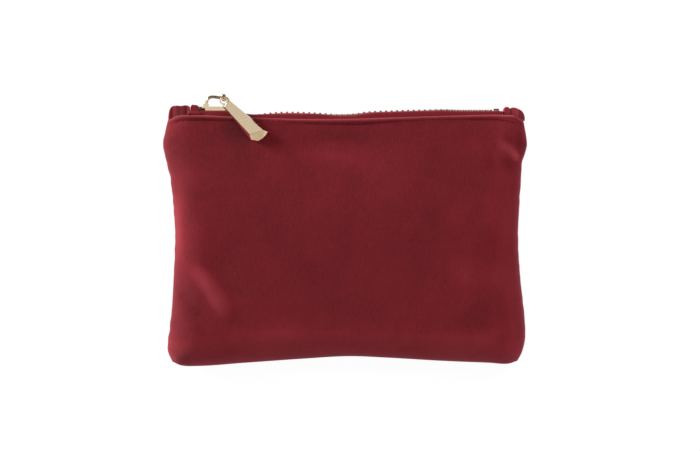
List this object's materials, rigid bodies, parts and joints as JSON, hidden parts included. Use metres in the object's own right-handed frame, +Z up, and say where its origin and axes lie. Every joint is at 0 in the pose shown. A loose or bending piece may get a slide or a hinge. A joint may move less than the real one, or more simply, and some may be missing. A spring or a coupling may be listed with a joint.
{
  "type": "zip pouch",
  "caption": "Small flat velvet pouch with a metal zip along its top edge and a faceted metal pull, lying on its back panel.",
  "frame": {"origin": "the middle of the flat patch of the back panel, which the pouch lies on", "axes": "+X along the zip from its closed end, +Y from the base to the zip, +Z up out of the front panel"},
  "size_m": [0.1778, 0.133, 0.0219],
  "materials": {
    "velvet": "dark red short-pile velvet with soft sheen",
    "lining": "plain woven lining",
    "zip_tape": "herringbone woven zip tape",
    "gold_metal": "pale gold polished metal"
  },
  "bodies": {
    "pouch": {"front_panel": "velvet", "back_panel": "velvet", "front_lining": "lining", "back_lining": "lining", "front_zip_tape": "zip_tape", "back_zip_tape": "zip_tape", "left_zip_end_tab": "velvet", "right_zip_end_tab": "velvet", "front_zip_teeth": "gold_metal", "back_zip_teeth": "gold_metal", "front_top_stop": "gold_metal", "back_top_stop": "gold_metal", "bottom_stop": "gold_metal"},
    "slider": {"slider_body": "gold_metal", "slider_bail": "gold_metal"},
    "link": {"pull_link": "gold_metal"},
    "pull": {"pull_tab": "gold_metal"}
  },
  "joints": [
    {"name": "slider_travel", "type": "slide", "parent": "pouch", "child": "slider", "axis": [1, 0, 0], "range_m": [0, 0.128], "deforming": ["front_zip_teeth", "back_zip_teeth"]},
    {"name": "link_swing", "type": "hinge", "parent": "slider", "child": "link", "pos_m": [-0.0591, 0.0675, 0.0095], "axis": [-1, 0, 0], "range_deg": [0, 170]},
    {"name": "pull_flap", "type": "hinge", "parent": "link", "child": "pull", "pos_m": [-0.0591, 0.0675, 0.0201], "axis": [-1, 0, 0], "range_deg": [0, 165]}
  ]
}
